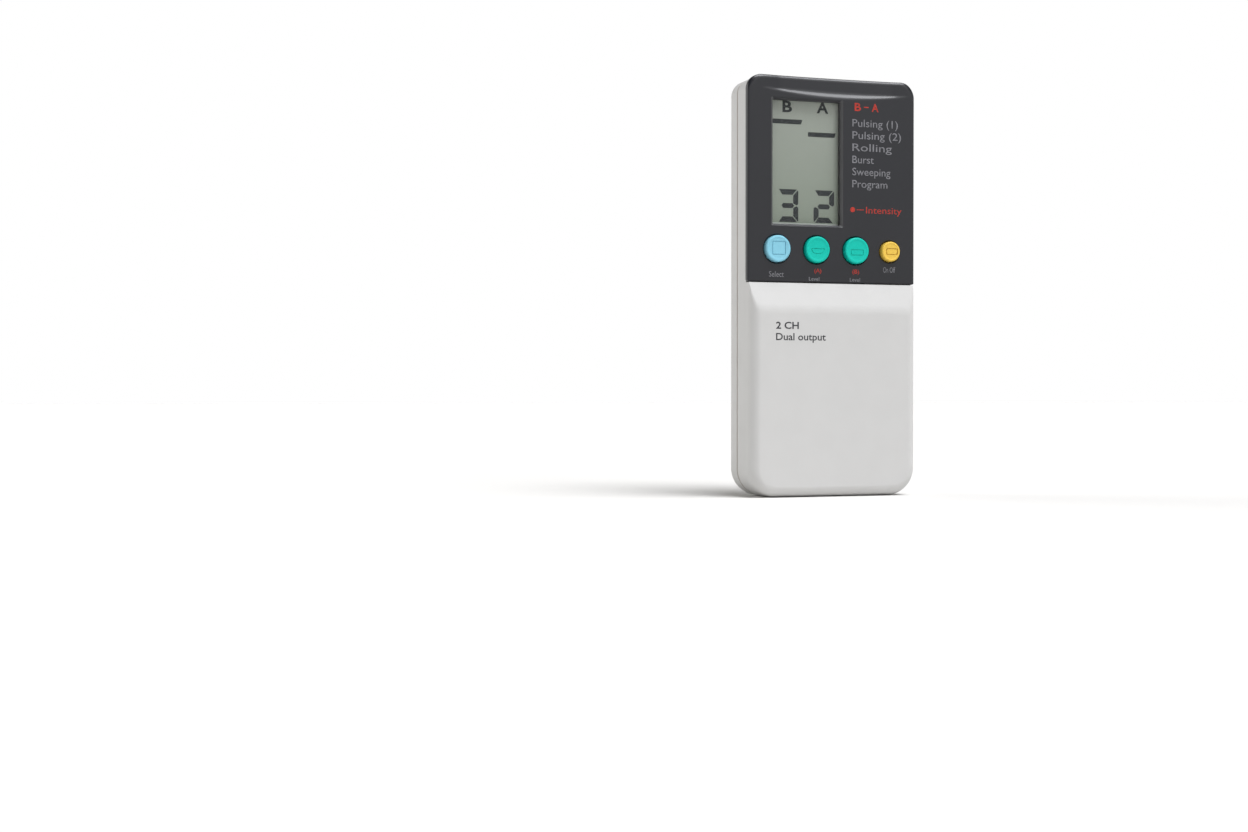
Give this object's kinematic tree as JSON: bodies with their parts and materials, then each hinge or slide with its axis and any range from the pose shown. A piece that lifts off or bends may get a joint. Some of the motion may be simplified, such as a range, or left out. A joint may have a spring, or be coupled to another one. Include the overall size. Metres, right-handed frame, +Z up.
{
  "type": "tens unit",
  "caption": "Slim hand-held nerve stimulator with a dark display panel, round push keys, a proud white lower front and a battery door at the back.",
  "frame": {"origin": "centre of the bounding box at the bottom end that the unit stands on", "axes": "+Z up the unit, the display and keys face -Y, +X to the right seen from the front"},
  "size_m": [0.06, 0.0216, 0.137],
  "materials": {
    "case_white": "fine satin moulded ABS, off-white",
    "bezel_dark": "dark charcoal panel with a soft gloss and printed legends",
    "window_clear": "clear acrylic window",
    "lcd_glass": "grey-green reflective liquid-crystal cell with dark segments",
    "nylon_natural": "natural nylon",
    "reflector_sheet": "thin silvered sheet behind the display",
    "contact_rubber": "striped conductive rubber",
    "key_blue": "light blue key cap",
    "key_green": "teal green key caps",
    "key_yellow": "amber yellow key cap",
    "moulding_black": "black moulded component bodies",
    "circuit_board": "green solder mask on glass-fibre laminate",
    "contact_metal": "nickel-plated spring steel",
    "screw_steel": "zinc-plated steel",
    "ferrite": "sintered ferrite",
    "winding": "enamelled copper winding under yellow tape",
    "capacitor_can": "aluminium can in a dark blue sleeve",
    "cell_sleeve": "plain dark shrink sleeve on a steel can",
    "lead_black": "black insulated wire",
    "lead_red": "red insulated wire",
    "foam": "dark closed-cell foam"
  },
  "bodies": {
    "case": {"battery_cell_1": "cell_sleeve", "battery_cell_2": "cell_sleeve", "battery_cell_3": "cell_sleeve", "battery_cell_4": "cell_sleeve", "battery_lead_negative": "lead_black", "battery_lead_positive": "lead_red", "battery_spring_1": "contact_metal", "battery_spring_2": "contact_metal", "battery_spring_3": "contact_metal", "battery_spring_4": "contact_metal", "board_screw_left": "screw_steel", "board_screw_right": "screw_steel", "board_screw_top": "screw_steel", "boost_inductor": "ferrite", "buzzer": "moulding_black", "capacitor_left": "capacitor_can", "capacitor_right": "capacitor_can", "case_screw_lower_left": "screw_steel", "case_screw_lower_right": "screw_steel", "case_screw_upper_left": "screw_steel", "case_screw_upper_right": "screw_steel", "contact_plate_lower": "contact_metal", "contact_plate_negative": "contact_metal", "contact_plate_positive": "contact_metal", "contact_plate_upper_left": "contact_metal", "contact_plate_upper_right": "contact_metal", "contact_strip_lower": "contact_rubber", "contact_strip_upper": "contact_rubber", "crystal": "contact_metal", "display_bezel": "bezel_dark", "display_window": "window_clear", "front_housing": "case_white", "jack_sleeve_a": "contact_metal", "jack_sleeve_b": "contact_metal", "lcd_cell": "lcd_glass", "lcd_holder": "nylon_natural", "lcd_reflector": "reflector_sheet", "level_a_switch_body": "moulding_black", "level_b_switch_body": "moulding_black", "main_board": "circuit_board", "microcontroller": "moulding_black", "output_jack_a": "moulding_black", "output_jack_b": "moulding_black", "power_switch_body": "moulding_black", "rear_housing": "case_white", "select_switch_body": "moulding_black", "transformer_coil_a": "winding", "transformer_coil_b": "winding", "transformer_core_a": "ferrite", "transformer_core_b": "ferrite"},
    "select_button": {"select_key": "key_blue", "select_switch_plunger": "nylon_natural"},
    "level_a_button": {"level_a_key": "key_green", "level_a_switch_plunger": "nylon_natural"},
    "level_b_button": {"level_b_key": "key_green", "level_b_switch_plunger": "nylon_natural"},
    "power_button": {"power_key": "key_yellow", "power_switch_plunger": "nylon_natural"},
    "door": {"battery_door": "case_white", "door_foam": "foam"}
  },
  "joints": [
    {"name": "select_press", "type": "slide", "parent": "case", "child": "select_button", "axis": [0, 1, 0], "range_m": [0, 0.0006], "stiffness_N_per_m": 400},
    {"name": "level_a_press", "type": "slide", "parent": "case", "child": "level_a_button", "axis": [0, 1, 0], "range_m": [0, 0.0006], "stiffness_N_per_m": 400},
    {"name": "level_b_press", "type": "slide", "parent": "case", "child": "level_b_button", "axis": [0, 1, 0], "range_m": [0, 0.0006], "stiffness_N_per_m": 400},
    {"name": "power_press", "type": "slide", "parent": "case", "child": "power_button", "axis": [0, 1, 0], "range_m": [0, 0.0006], "stiffness_N_per_m": 400},
    {"name": "battery_door_swing", "type": "hinge", "parent": "case", "child": "door", "pos_m": [0, 0.01075, 0.0109], "axis": [-1, 0, 0], "range_deg": [0, 60]}
  ]
}
